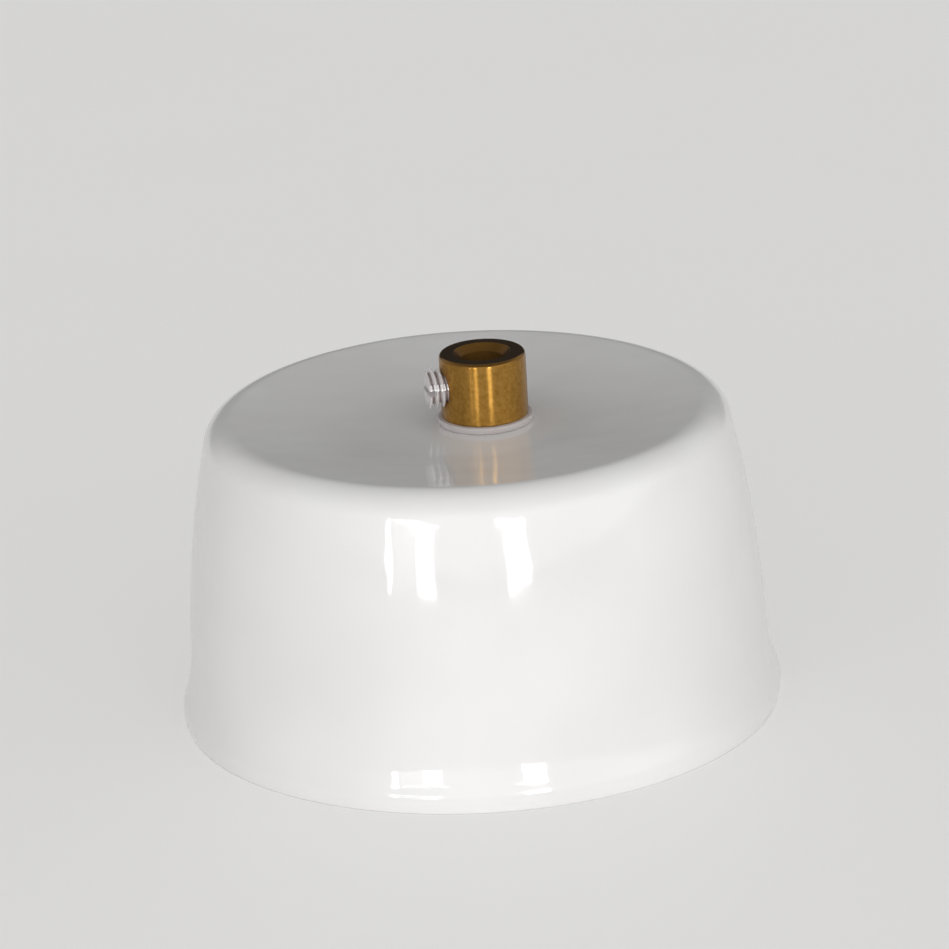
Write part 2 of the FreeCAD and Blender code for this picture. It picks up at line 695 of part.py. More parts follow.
# Earth terminal: brass cup washer and screw on the bridge, with a nut below
turned(
    "earth_cup_washer",
    [
        ("size.earth_radius", "0"),
        ("size.earth_cup_radius", "0"),
        ("size.earth_cup_radius", "size.earth_cup_height"),
        ("size.earth_cup_radius - size.earth_cup_thick / 2", "size.earth_cup_height"),
        ("size.earth_cup_radius - size.earth_cup_thick", "size.earth_cup_thick"),
        ("size.earth_radius", "size.earth_cup_thick"),
    ],
    across=EARTH_ACROSS,
    height="size.bridge_height",
)
slotted_screw(
    "earth_screw",
    "size.earth_radius",
    EARTH_LENGTH,
    "size.earth_head_radius",
    "size.earth_head_height",
    EARTH_ACROSS,
    "0",
    "size.bridge_height + size.earth_cup_thick",
)
hex_nut(
    "earth_nut",
    "size.earth_nut_flats",
    "size.earth_nut_thick",
    "size.earth_radius",
    EARTH_ACROSS,
    f"{BRIDGE_UNDER} - size.earth_nut_thick",
)

# Terminal block: a moulded base with a barrel bore and two screw towers for each pole
block = start("terminal_block", along=BLOCK_PLACE, height="size.bridge_height")
block_plan = sketch_on(block, "XY_Plane", "block_plan")
block_end, block_front = f"{BLOCK_LENGTH} / 2", "size.block_depth / 2"
add_rectangle(block_plan, f"-{block_end}", block_end, f"-{block_front}", block_front)
pad(block, block_plan, "size.block_height")
half_length = size("pole_count") * size("pole_pitch") / 2 + size("block_end")
block_corners = []
for hand in (-1, 1):
    for side_hand in (-1, 1):
        block_edge = side_hand * size("block_depth") / 2
        block_corners.append(FreeCAD.Vector(hand * half_length, block_edge, 0))
round_edges(block, "block_corners", block_corners, ALONG_Z, "size.block_round")

towers = sketch_on(block, "XY_Plane", "tower_pair")
screw_holes = sketch_on(block, "XY_Plane", "screw_holes", "size.barrel_rise")
fixing_holes = sketch_on(block, "XY_Plane", "fixing_holes")
for sign in ("-", ""):
    pole_end = f"{sign}size.tower_spacing / 2"
    add_circle(towers, "size.tower_radius", FIRST_POLE, pole_end)
    add_circle(screw_holes, "size.clamp_head_radius + size.clamp_clearance", FIRST_POLE, pole_end)
    add_circle(fixing_holes, "size.fixing_radius + size.fixing_clearance", f"{sign}size.pole_pitch / 2")
repeat_poles(block, pad(block, towers, "size.tower_height"))
repeat_poles(block, cut(block, screw_holes, reverse=True))
barrel_bores = sketch_on(block, "XZ_Plane", "barrel_bores")
add_circle(barrel_bores, "size.barrel_radius + size.barrel_clearance", FIRST_POLE, "size.barrel_rise")
repeat_poles(block, cut(block, barrel_bores, f"size.block_depth + 2 * {PAST}", midplane=True))
cut(block, fixing_holes, reverse=True)

# Brass barrel and two clamping screws for each pole
for pole in range(int(size("pole_count"))):
    pole_across = f"size.hole_offset + {FIRST_POLE} + {pole} * size.pole_pitch"
    barrel_height = "size.bridge_height + size.barrel_rise"
    barrel = start(f"terminal_barrel_{pole + 1}", pole_across, BLOCK_PLACE, barrel_height)
    barrel_end = sketch_on(barrel, "XZ_Plane", f"barrel_end_{pole + 1}")
    add_circle(barrel_end, "size.barrel_radius")
    add_circle(barrel_end, "size.barrel_bore")
    pad(barrel, barrel_end, "size.barrel_length", midplane=True)
    tapped = sketch_on(barrel, "XY_Plane", f"barrel_holes_{pole + 1}")
    for sign in ("-", ""):
        tapped_radius = "size.clamp_radius + size.thread_clearance"
        add_circle(tapped, tapped_radius, "0", f"{sign}size.tower_spacing / 2")
    cut(barrel, tapped, f"size.barrel_radius + {PAST}", reverse=True)
    for end, sign in enumerate(("-", "+"), 1):
        slotted_screw(
            f"terminal_screw_{2 * pole + end}",
            "size.clamp_radius",
            "size.clamp_length",
            "size.clamp_head_radius",
            "size.clamp_head_height",
            pole_across,
            f"{BLOCK_PLACE} {sign} size.tower_spacing / 2",
            f"size.bridge_height + {CLAMP_SEAT}",
        )

# Two screws that fix the block to the wing
for number, sign in enumerate(("-", "+"), 1):
    slotted_screw(
        f"block_screw_{number}",
        "size.fixing_radius",
        FIXING_LENGTH,
        "size.fixing_head_radius",
        "size.fixing_head_height",
        f"size.hole_offset {sign} size.pole_pitch / 2",
        BLOCK_PLACE,
        "size.bridge_height + size.block_height",
    )

# Checks every feature and solid, then writes one STEP file for each node
doc.recompute()
for item in doc.Objects:
    if "Invalid" in item.State or "Error" in item.State:
        raise RuntimeError(f"{item.Name} failed: {item.State}")
os.makedirs("parts", exist_ok=True)
for body in parts:
    if body.Shape.isNull() or not body.Shape.isValid() or len(body.Shape.Solids) != 1:
        raise RuntimeError(f"{body.Label} is not one valid solid")
    body.Shape.exportStep(f"parts/{body.Label}.step")
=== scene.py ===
"""Ceiling rose in its looks: a glazed cup, a turned brass grip with a clear screw, and the fittings inside.

Metres, in the part's own frame: +Z from the rim to the cord grip, the rim standing on the floor.
"""

import json
import math

import bpy
import numpy as np
from mathutils import Matrix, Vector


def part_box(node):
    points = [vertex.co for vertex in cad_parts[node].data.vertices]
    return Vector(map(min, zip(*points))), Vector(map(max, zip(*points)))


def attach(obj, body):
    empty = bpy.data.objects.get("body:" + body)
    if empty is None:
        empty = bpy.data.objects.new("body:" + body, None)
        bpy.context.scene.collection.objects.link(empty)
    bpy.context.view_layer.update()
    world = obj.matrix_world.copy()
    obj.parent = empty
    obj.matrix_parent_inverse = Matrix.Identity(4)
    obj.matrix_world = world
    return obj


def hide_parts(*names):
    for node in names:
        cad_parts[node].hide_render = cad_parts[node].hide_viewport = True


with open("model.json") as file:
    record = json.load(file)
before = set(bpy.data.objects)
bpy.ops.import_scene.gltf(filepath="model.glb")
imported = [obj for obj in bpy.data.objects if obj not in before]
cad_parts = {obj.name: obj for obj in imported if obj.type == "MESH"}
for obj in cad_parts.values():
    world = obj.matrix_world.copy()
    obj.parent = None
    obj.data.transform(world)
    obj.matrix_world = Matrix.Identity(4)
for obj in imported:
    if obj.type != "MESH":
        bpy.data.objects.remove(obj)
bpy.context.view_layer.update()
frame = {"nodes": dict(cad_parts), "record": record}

# Glazed cup
# A slip-cast earthenware cup under a clear gloss glaze, pooled a little uneven by hand. Its foot ring is
# wiped bare before firing, and one hole is pierced a little off the middle of its dished crown.
MM = 0.001
cup_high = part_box("ceramic_cover")[1]
grip_low, grip_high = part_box("cord_grip")
washer_low, washer_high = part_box("clear_washer")
rim_radius, ridge_height, crown_height = cup_high.x, cup_high.z, washer_low.z
fittings_across = (grip_low.x + grip_high.x) / 2
cup_wall, lip_round, lip_rise = 4.0 * MM, 5.0 * MM, 1.9 * MM
foot_inset, foot_ease = 0.3 * MM, 0.7 * MM
waist_inset, waist_rise, side_lean = 2.0 * MM, 13.0 * MM, math.radians(2.0)
shoulder_draw, shoulder_round, slope_ends = 6.6 * MM, 5.0 * MM, 9.2 * MM
seat_radius, hole_radius, hole_round, hole_margin = 12.0 * MM, 5.25 * MM, 0.5 * MM, 0.2 * MM
foot_start, cup_turns = 0.02 * MM, 288


def direction(angle):
    """The unit vector at an angle from the radius towards the height."""
    return np.array([math.cos(angle), math.sin(angle)])


def arc(centre, radius, begin, end, count):
    """Points of an arc, as pairs of radius and height: the centre plus the radius at evenly spaced angles."""
    angles = np.linspace(begin, end, count)
    return np.stack([centre[0] + radius * np.cos(angles), centre[1] + radius * np.sin(angles)], 1)


def line(start, end, count):
    """Evenly spaced points of a straight run, its own end left to the next run."""
    return np.linspace(start, end, count, endpoint=False)


def cup_profile():
    """The cup's closed half section, from the hole's upper edge round the foot to its lower edge.

    Lip, flare, side, shoulder and dish are circles that touch: each centre lies where its distance to
    its neighbour's centre is the sum or difference of their radii. The inner wall keeps the same
    centres, one wall's thickness in.
    """
    at_lip = np.array([rim_radius - lip_round, lip_rise])
    waist = np.array([rim_radius - waist_inset, waist_rise])
    at_shoulder = np.array([rim_radius - shoulder_draw - shoulder_round, ridge_height - shoulder_round])
    outward = direction(side_lean)
    rise, drop = waist - at_lip, waist - at_shoulder
    flare = (rise @ rise - lip_round**2) / (2 * (lip_round - rise @ outward))
    side = (drop @ drop - shoulder_round**2) / (2 * (drop @ outward - shoulder_round))
    at_flare, at_side = waist + outward * flare, waist - outward * side
    room = at_shoulder[0] - seat_radius
    fall = crown_height - at_shoulder[1]
    straight = room - slope_ends
    dish = (room**2 - straight**2 + fall**2 - shoulder_round**2) / (2 * (ridge_height - crown_height))
    at_dish = np.array([seat_radius, crown_height + dish])
    span = at_shoulder - at_dish
    slope = math.atan2(span[0], -span[1]) - math.acos((dish + shoulder_round) / np.hypot(*span))
    flare_end = math.atan2(at_flare[1] - at_lip[1], at_flare[0] - at_lip[0])
    side_end = math.atan2(at_shoulder[1] - at_side[1], at_shoulder[0] - at_side[0])
    crown_turn, level = math.pi / 2 + slope, -math.pi / 2
    foot_across = rim_radius - cup_wall - foot_inset
    foot_rise = at_flare[1] - math.sqrt((flare + cup_wall) ** 2 - (at_flare[0] - foot_across) ** 2)
    foot_turn = math.atan2(at_flare[1] - foot_rise, at_flare[0] - foot_across)
    under = crown_height - cup_wall
    inside = hole_radius + hole_round
    runs = [
        arc((inside, crown_height - hole_round), hole_round, math.pi, math.pi / 2, 7),
        line((inside + hole_margin, crown_height), (seat_radius, crown_height), 6),
        arc(at_dish, dish, level, level + slope, 14),
        line(
            at_dish - direction(crown_turn) * dish,
            at_shoulder + direction(crown_turn) * shoulder_round,
            14,
        )[1:],
        arc(at_shoulder, shoulder_round, crown_turn, side_end, 30),
        arc(at_side, side, side_end, side_lean, 26)[1:],
        arc(at_flare, flare, math.pi + side_lean, math.pi + flare_end, 14)[1:],
        arc(at_lip, lip_round, flare_end, -math.asin(lip_rise / lip_round), 14)[1:],
        line((foot_across + 2 * foot_ease, foot_start), (foot_across + foot_ease, 0), 2),
        line((foot_across + foot_ease, 0), (foot_across, foot_ease), 4),
        line((foot_across, foot_ease), (foot_across, foot_rise), 6),
        arc(at_flare, flare + cup_wall, math.pi + foot_turn, math.pi + side_lean, 10),
        arc(at_side, side - cup_wall, side_lean, side_end, 18)[1:],
        arc(at_shoulder, shoulder_round - cup_wall, side_end, crown_turn, 16)[1:],
        line(
            at_shoulder + direction(crown_turn) * (shoulder_round - cup_wall),
            at_dish - direction(crown_turn) * (dish + cup_wall),
            12,
        )[1:],
        arc(at_dish, dish + cup_wall, level + slope, level, 12),
        line((seat_radius, under), (inside, under), 6)[1:],
        arc((inside, under + hole_round), hole_round, -math.pi / 2, -math.pi, 7),
    ]
    return np.concatenate(runs)


def turn_profile(profile, turns, across=0.0):
    """A surface of revolution: a profile's radius goes round at even angles, its height stays."""
    angles = np.linspace(0, 2 * math.pi, turns, endpoint=False)
    radius, height = profile[:, :1], profile[:, 1:]
    return np.stack([across + radius * np.cos(angles), radius * np.sin(angles), height + 0 * angles], 2)


def grid_piece(name, points, material, body="rose"):
    """One closed mesh from a grid that meets itself both ways: each four neighbours make a face.

    The sum of each face's volume against the origin tells which way the faces point, and they are
    turned round where it is negative, so that they point outwards.
    """
    rows, columns = points.shape[:2]
    number = np.arange(rows * columns).reshape(rows, columns)
    below, beside = np.roll(number, -1, 0), np.roll(number, -1, 1)
    corner = np.roll(below, -1, 1)
    faces = np.stack([number, beside, corner, below], 2).reshape(-1, 4)
    flat = points.reshape(-1, 3)
    one, two, three, four = (flat[faces[:, place]] for place in range(4))
    volume = (one * np.cross(two, three)).sum() + (one * np.cross(three, four)).sum()
    if volume < 0:
        faces = faces[:, ::-1]
    mesh = bpy.data.meshes.new(name)
    mesh.vertices.add(len(flat))
    mesh.vertices.foreach_set("co", flat.ravel())
    mesh.loops.add(faces.size)
    mesh.loops.foreach_set("vertex_index", faces.ravel())
    mesh.polygons.add(len(faces))
    mesh.polygons.foreach_set("loop_start", np.arange(0, faces.size, 4))
    mesh.polygons.foreach_set("use_smooth", np.ones(len(faces), bool))
    mesh.update(calc_edges=True)
    mesh.validate()
    mesh.materials.append(material)
    piece = bpy.data.objects.new(name, mesh)
    bpy.context.scene.collection.objects.link(piece)
    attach(piece, body)
    return piece


def finish_named(name, **sockets):
    """A new material, its shader's plain numbers and colours set on their own sockets."""
    material = bpy.data.materials.new(name)
    material.use_nodes = True
    shader = material.node_tree.nodes["Principled BSDF"]
    for socket, value in sockets.items():
        shader.inputs[socket.replace("_", " ")].default_value = value
    return material, material.node_tree, shader


def node(tree, kind, links=(), **settings):
    """A node of one kind, its attributes or inputs set by name, and its inputs linked from sockets."""
    made = tree.nodes.new(kind)
    for name, value in settings.items():
        if hasattr(made, name):
            setattr(made, name, value)
        else:
            made.inputs[name.replace("_", " ")].default_value = value
    for place, source in dict(links).items():
        tree.links.new(source, made.inputs[place])
    return made


def position_in(tree):
    """The Object coordinates of the piece, which are its place in the part's frame."""
    return node(tree, "ShaderNodeTexCoord").outputs["Object"]


def ramp(tree, source, *stops):
    """A colour ramp over a value, from pairs of place and grey or colour."""
    made = node(tree, "ShaderNodeValToRGB", {"Fac": source})
    band = made.color_ramp
    for index, (place, shade) in enumerate(stops):
        stop = band.elements[index] if index < 2 else band.elements.new(place)
        stop.position = place
        stop.color = (*((shade,) * 3 if isinstance(shade, float) else shade), 1)
    return made.outputs["Color"]


def between(tree, source, low, high, first, second):
    """A value carried from one range to another, and held at the ends."""
    made = node(tree, "ShaderNodeMapRange", {"Value": source}, From_Min=low, From_Max=high)
    made.inputs["To Min"].default_value, made.inputs["To Max"].default_value = first, second
    return made.outputs["Result"]


def blended(tree, factor, first, second):
    """Two colours mixed by a factor, each a colour or a socket."""
    made = node(tree, "ShaderNodeMix", data_type="RGBA")
    tree.links.new(factor, made.inputs["Factor"])
    for place, colour in ((6, first), (7, second)):
        if isinstance(colour, tuple):
            made.inputs[place].default_value = (*colour, 1)
        else:
            tree.links.new(colour, made.inputs[place])
    return made.outputs[2]


glaze_white, glaze_shade, biscuit = (0.86, 0.855, 0.85), (0.82, 0.81, 0.80), (0.70, 0.64, 0.55)
wiped_to, glazed_from, bare_gloss = 0.01 * MM, 0.05 * MM, 0.65
glaze, tree, shader = finish_named("white_glaze", IOR=1.52)
place = position_in(tree)
pooling = node(tree, "ShaderNodeTexNoise", {"Vector": place}, Scale=38.0, Detail=1.5, Roughness=0.4)
ripple = node(tree, "ShaderNodeTexNoise", {"Vector": place}, Scale=150.0, Detail=1.0, Roughness=0.3)
height_split = node(tree, "ShaderNodeSeparateXYZ", {"Vector": place})
bare_foot = between(tree, height_split.outputs["Z"], wiped_to, glazed_from, 1.0, 0.0)
pooled = ramp(tree, pooling.outputs["Fac"], (0.35, 0.0), (0.7, 1.0))
glazed = blended(tree, pooled, glaze_white, glaze_shade)
tree.links.new(blended(tree, bare_foot, glazed, biscuit), shader.inputs["Base Color"])
glaze_gloss = between(tree, pooling.outputs["Fac"], 0.0, 1.0, 0.04, 0.08)
foot_gloss = node(tree, "ShaderNodeMix", {"Factor": bare_foot, "A": glaze_gloss}, B=bare_gloss)
tree.links.new(foot_gloss.outputs["Result"], shader.inputs["Roughness"])
slow = node(tree, "ShaderNodeBump", {"Height": pooling.outputs["Fac"]}, Strength=0.35, Distance=0.0006)
fast = node(
    tree,
    "ShaderNodeBump",
    {"Height": ripple.outputs["Fac"], "Normal": slow.outputs["Normal"]},
    Strength=0.5,
    Distance=0.0002,
)
tree.links.new(fast.outputs["Normal"], shader.inputs["Normal"])

profile = cup_profile()
cup_points = turn_profile(profile, cup_turns)
# near the hole the rings move over from the cup's middle to the hole's, which the flat seat hides
moved_over = np.clip((seat_radius - profile[:, 0]) / (seat_radius - hole_radius), 0, 1)
cup_points[:, :, 0] += fittings_across * moved_over[:, None]
cup = grid_piece("glazed_cup", cup_points, glaze)
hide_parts("ceramic_cover")

# Clear washer
# A soft clear plastic washer punched from sheet, nipped between the brass and the glaze so that the
# metal doesn't craze the crown. Its rim shows as a thin milky ring.
washer_turns, washer_round = 128, 0.3 * MM
washer_radius = (washer_high.x - washer_low.x) / 2


def ring_profile(inner, outer, low, high, edge):
    """A ring's closed half section: a rectangle whose four corners are quarter circles of one radius."""
    quarter = math.pi / 2
    inner, outer, low, high = inner + edge, outer - edge, low + edge, high - edge
    centres = ((inner, low), (outer, low), (outer, high), (inner, high))
    begins = (2 * quarter, 3 * quarter, 0, quarter)
    corners = [arc(centre, edge, begin, begin + quarter, 6) for centre, begin in zip(centres, begins)]
    return np.concatenate(corners)


sheet_clear, sheet_cloudy = (0.96, 0.90, 0.89), (0.89, 0.82, 0.81)
clear_sheet, tree, shader = finish_named("clear_sheet", IOR=1.46, Transmission_Weight=0.35)
sheet_cloud = node(tree, "ShaderNodeTexNoise", {"Vector": position_in(tree)}, Scale=500.0, Detail=3.0)
sheet_colour = blended(tree, sheet_cloud.outputs["Fac"], sheet_clear, sheet_cloudy)
tree.links.new(sheet_colour, shader.inputs["Base Color"])
tree.links.new(between(tree, sheet_cloud.outputs["Fac"], 0.0, 1.0, 0.15, 0.3), shader.inputs["Roughness"])
washer_profile = ring_profile(hole_radius, washer_radius, washer_low.z, washer_high.z, washer_round)
washer_points = turn_profile(washer_profile, washer_turns, fittings_across)
washer = grid_piece("clear_crown_washer", washer_points, clear_sheet)
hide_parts("clear_washer")

# Brass cord grip
# Free-cutting brass bar, turned, bored and parted off, with a tapped cross hole for the clamping screw.
# It is left unlacquered, so the lathe's fine lines and fingers' tarnish show on it.
grip_radius = (grip_high.x - grip_low.x) / 2
screw_low, screw_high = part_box("grip_screw")
grip_bore, grip_edge, bottom_edge, face_margin = 3.8 * MM, 0.6 * MM, 0.15 * MM, 0.1 * MM
socket_radius, socket_depth, grip_countersink = 5.05 * MM, 1.8 * MM, 1.2 * MM
mouth_radius, grip_turns = grip_bore + grip_countersink, 192
screw_axis = (screw_low.z + screw_high.z) / 2
thread_pitch, screw_root, screw_crest = 1.155 * MM, 2.6 * MM, 3.5 * MM


def thread_surface(start, length, pitch, root, crest, turns, steps, lead=0.0):
    """A screw thread along its axis, as distance along, radius and angle on a grid.

    The radius at a place is the root plus the thread's height times a triangle wave with its tips cut
    off, of how many pitches lie between that place and the helix. It sinks to the root at both ends.
    """
    tip_cut, end_run = 0.1, 0.13 * pitch
    along = np.linspace(0, length, int(length / pitch * steps) + 1)[:, None]
    angle = np.linspace(0, 2 * math.pi, turns, endpoint=False)[None, :]
    phase = (along + lead) / pitch - angle / (2 * math.pi)
    ridge = 1 - 2 * np.abs(phase - np.round(phase))
    ridge = np.clip((1 + 2 * tip_cut) * ridge - tip_cut, 0, 1)
    fade = np.clip(np.minimum(along, length - along) / end_run, 0, 1)
    radius = root + (crest - root) * ridge * fade
    return start + along + 0 * angle, radius, angle + 0 * along


def capped_rod(along, radius, angle):
    """Closes a rod's two ends by rows that shrink almost to its axis, and returns its points along X."""
    cap_rows, tip_share = 5, 0.002
    share = np.linspace(1, tip_share, cap_rows)[1:, None]
    flat = 0 * share
    along = np.concatenate([along[0] + flat, along, along[-1] + flat])
    radius = np.concatenate([radius[0] * share[::-1], radius, radius[-1] * share])
    angle = np.concatenate([angle[0] + flat, angle, angle[-1] + flat])
    return np.stack([along, radius * np.cos(angle), radius * np.sin(angle)], 2)


grip_profile = np.concatenate(
    [
        line((socket_radius, grip_low.z), (grip_radius - bottom_edge, grip_low.z), 4),
        arc((grip_radius - bottom_edge, grip_low.z + bottom_edge), bottom_edge, -math.pi / 2, 0, 4),
        line((grip_radius, grip_low.z + 2 * bottom_edge), (grip_radius, grip_high.z - grip_edge), 24),
        arc((grip_radius - grip_edge, grip_high.z - grip_edge), grip_edge, 0, math.pi / 2, 10),
        line((grip_radius - grip_edge - face_margin, grip_high.z), (mouth_radius, grip_high.z), 6),
        line((mouth_radius, grip_high.z), (grip_bore, grip_high.z - grip_countersink), 8),
        line((grip_bore, grip_high.z - grip_countersink), (grip_bore, grip_low.z + socket_depth), 16),
        line((grip_bore, grip_low.z + socket_depth), (socket_radius, grip_low.z + socket_depth), 3),
        line((socket_radius, grip_low.z + socket_depth), (socket_radius, grip_low.z), 5),
    ]
)


def group_named(name, inputs, outputs):
    """A shader node group with named number inputs and named outputs, and its two ends' sockets."""
    group = bpy.data.node_groups.new(name, "ShaderNodeTree")
    for label, value in inputs.items():
        made = group.interface.new_socket(label, in_out="INPUT", socket_type="NodeSocketFloat")
        made.default_value = value
    for label in outputs:
        group.interface.new_socket(label, in_out="OUTPUT", socket_type="NodeSocketFloat")
    return group, group.nodes.new("NodeGroupInput").outputs, group.nodes.new("NodeGroupOutput").inputs


# lathe lines: rings of uneven depth along the piece's height, and blotches where it has been handled
handled_metal, given, out = group_named(
    "handled_metal", {"Line Scale": 9000.0, "Blotch Scale": 420.0}, ("Lines", "Blotch")
)
where = position_in(handled_metal)
split = node(handled_metal, "ShaderNodeSeparateXYZ", {"Vector": where})
height_alone = node(handled_metal, "ShaderNodeCombineXYZ", {"Z": split.outputs["Z"]}).outputs["Vector"]
lathe = node(
    handled_metal, "ShaderNodeTexNoise", {"Vector": height_alone, "Scale": given["Line Scale"]}, Detail=2.0
)
blotches = node(
    handled_metal,
    "ShaderNodeTexNoise",
    {"Vector": where, "Scale": given["Blotch Scale"]},
    Detail=5.0,
    Roughness=0.62,
)
handled_metal.links.new(lathe.outputs["Fac"], out["Lines"])
handled_metal.links.new(blotches.outputs["Fac"], out["Blotch"])


def metal(name, bright, dull, gloss, line_scale, blotch_scale, line_depth, spread=0.0):
    """A handled metal: two colours by blotch, roughness between two values, and lines cut round it.

    A turned piece spreads its highlights across the lines, up and down its side.
    """
    made, tree, shader = finish_named(name, Metallic=1.0)
    wear = node(tree, "ShaderNodeGroup", node_tree=handled_metal)
    wear.inputs["Line Scale"].default_value = line_scale
    wear.inputs["Blotch Scale"].default_value = blotch_scale
    tarnish = ramp(tree, wear.outputs["Blotch"], (0.38, 0.0), (0.68, 1.0))
    tree.links.new(blended(tree, tarnish, bright, dull), shader.inputs["Base Color"])
    tree.links.new(between(tree, wear.outputs["Blotch"], 0.3, 0.75, *gloss), shader.inputs["Roughness"])
    lines = node(tree, "ShaderNodeBump", {"Height": wear.outputs["Lines"]}, Strength=0.3, Distance=line_depth)
    tree.links.new(lines.outputs["Normal"], shader.inputs["Normal"])
    if spread:
        shader.inputs["Anisotropic"].default_value = spread
        shader.inputs["Anisotropic Rotation"].default_value = 0.25
        around = node(tree, "ShaderNodeTangent", direction_type="RADIAL", axis="Z")
        tree.links.new(around.outputs["Tangent"], shader.inputs["Tangent"])
    return made


def cut_by(piece, cutter):
    """Takes the cutter's solid out of the piece's, and removes the cutter."""
    knife = piece.modifiers.new("cut", "BOOLEAN")
    knife.operation, knife.solver, knife.object = "DIFFERENCE", "EXACT", cutter
    shaped = bpy.data.meshes.new_from_object(piece.evaluated_get(bpy.context.evaluated_depsgraph_get()))
    piece.modifiers.clear()
    piece.data = shaped
    bpy.data.objects.remove(cutter)
    shaped.set_sharp_from_angle(angle=math.radians(32))


rubbed_brass, dulled_brass, brass_in_painted_shade = (0.44, 0.235, 0.052), (0.32, 0.16, 0.028), (0.21, 0.108, 0.026)
turned_gloss, faced_gloss, drilled_gloss = (0.28, 0.31), 0.08, 0.46
faced_from, faced_at, mouth_blend = grip_high.z - 0.65 * MM, grip_high.z - 0.45 * MM, 0.05 * MM
aged_brass = metal(
    "aged_brass",
    rubbed_brass,
    dulled_brass,
    turned_gloss,
    line_scale=9000.0,
    blotch_scale=1300.0,
    line_depth=0.00001,
    spread=1.0,
)
# the top was faced and its edge eased with a finer cut, so it is smoother than the side
tree = aged_brass.node_tree
shader = tree.nodes["Principled BSDF"]
turned_side = shader.inputs["Roughness"].links[0].from_socket
height_split = node(tree, "ShaderNodeSeparateXYZ", {"Vector": position_in(tree)})
faced = between(tree, height_split.outputs["Z"], faced_from, faced_at, 0.0, 1.0)
side_or_top = node(tree, "ShaderNodeMix", {"Factor": faced, "A": turned_side}, B=faced_gloss)
# its bore and countersink kept the drill's coarse rings, so they are rougher; their darker colour is painted
# shade
off_grip = node(tree, "ShaderNodeVectorMath", {0: position_in(tree)}, operation="MULTIPLY_ADD")
off_grip.inputs[1].default_value = (1, 1, 0)
off_grip.inputs[2].default_value = (-fittings_across, 0, 0)
off_middle = node(tree, "ShaderNodeVectorMath", {0: off_grip.outputs["Vector"]}, operation="LENGTH")
mouth_from, mouth_to = mouth_radius - mouth_blend, mouth_radius + mouth_blend
within = between(tree, off_middle.outputs["Value"], mouth_from, mouth_to, 1.0, 0.0)
outer_gloss = side_or_top.outputs["Result"]
anywhere = node(tree, "ShaderNodeMix", {"Factor": within, "A": outer_gloss}, B=drilled_gloss)
tree.links.new(anywhere.outputs["Result"], shader.inputs["Roughness"])
side_colour = shader.inputs["Base Color"].links[0].from_socket
# painted shade in the bore and countersink, and a painted dark reflection on the faced top: both take the
# darker brass colour
painted_shade_place = node(tree, "ShaderNodeMath", {0: faced, 1: within}, operation="MAXIMUM").outputs[0]
tree.links.new(blended(tree, painted_shade_place, side_colour, brass_in_painted_shade), shader.inputs["Base Color"])
grip = grid_piece("brass_grip", turn_profile(grip_profile, grip_turns, fittings_across), aged_brass)
tap_reach, tap_length, tap_play = 2.0 * MM, 9.0 * MM, 0.08 * MM
tap_root, tap_crest = screw_root + tap_play, screw_crest + tap_play
tap = thread_surface(
    screw_low.x - tap_reach, tap_length, thread_pitch, tap_root, tap_crest, turns=64, steps=10
)
cut_by(grip, grid_piece("tap", capped_rod(*tap) + np.array([0, 0, screw_axis]), aged_brass))
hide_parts("cord_grip")

# Clear clamping screw
# A moulded nylon grub screw, water-clear with a milky cast; its crests are painted a milky highlight and the
# roots between them a painted shade. Where the mould's two halves met, a low rib runs along both its sides,
# and a driver slot is moulded in its outer end.
screw_turns, screw_lead, slot_width, slot_depth = 96, 0.37 * MM, 1.1 * MM, 1.3 * MM
end_from, end_to, slot_play, slot_blend = 0.03 * MM, 0.12 * MM, 0.05 * MM, 0.1 * MM
milk_highlight_bright, milk_highlight_cloudy, thread_painted_shade = (0.98, 0.96, 0.955), (0.92, 0.88, 0.88), (0.42, 0.33, 0.32)
screw_length, crest_share = screw_high.x - screw_low.x, 0.6
clear_nylon, tree, shader = finish_named("clear_nylon", IOR=1.53, Transmission_Weight=0.3)
nylon_place = position_in(tree)
nylon_cloud = node(tree, "ShaderNodeTexNoise", {"Vector": nylon_place}, Scale=700.0, Detail=3.0)
from_axis = node(tree, "ShaderNodeVectorMath", {0: nylon_place}, operation="MULTIPLY_ADD")
from_axis.inputs[1].default_value = (0, 1, 1)
from_axis.inputs[2].default_value = (0, 0, -screw_axis)
off_axis = node(tree, "ShaderNodeVectorMath", {0: from_axis.outputs["Vector"]}, operation="LENGTH")
crest_from = screw_root + crest_share * (screw_crest - screw_root)
on_crest = between(tree, off_axis.outputs["Value"], screw_root, crest_from, 0.0, 1.0)
from_end = node(tree, "ShaderNodeSeparateXYZ", {"Vector": nylon_place})
on_end = between(tree, from_end.outputs["X"], screw_low.x + end_from, screw_low.x + end_to, 1.0, 0.0)
by_slot = node(tree, "ShaderNodeMath", {0: from_end.outputs["Z"]}, operation="COMPARE")
by_slot.inputs[1].default_value = screw_axis
by_slot.inputs[2].default_value = slot_width / 2 + slot_play
slot_floor = screw_low.x + slot_depth
above_floor = between(tree, from_end.outputs["X"], slot_floor + slot_play, slot_floor + slot_blend, 1.0, 0.0)
in_slot = node(tree, "ShaderNodeMath", {0: by_slot.outputs[0], 1: above_floor}, operation="MULTIPLY")
at_end = node(tree, "ShaderNodeMath", {0: on_end, 1: in_slot.outputs[0]}, operation="MAXIMUM")
# the crests, the end and the slot's walls take the milky colour, partly the nylon's own and partly a painted
# highlight; the thread's roots and flanks take a painted shade
painted_lit_parts = node(tree, "ShaderNodeMath", {0: on_crest, 1: at_end.outputs[0]}, operation="MAXIMUM")
milky = blended(tree, nylon_cloud.outputs["Fac"], milk_highlight_bright, milk_highlight_cloudy)
tree.links.new(blended(tree, painted_lit_parts.outputs[0], thread_painted_shade, milky), shader.inputs["Base Color"])
tree.links.new(between(tree, nylon_cloud.outputs["Fac"], 0.0, 1.0, 0.08, 0.2), shader.inputs["Roughness"])
along, radius, angle = thread_surface(
    screw_low.x,
    screw_length,
    thread_pitch,
    screw_root,
    screw_crest,
    turns=screw_turns,
    steps=16,
    lead=screw_lead,
)
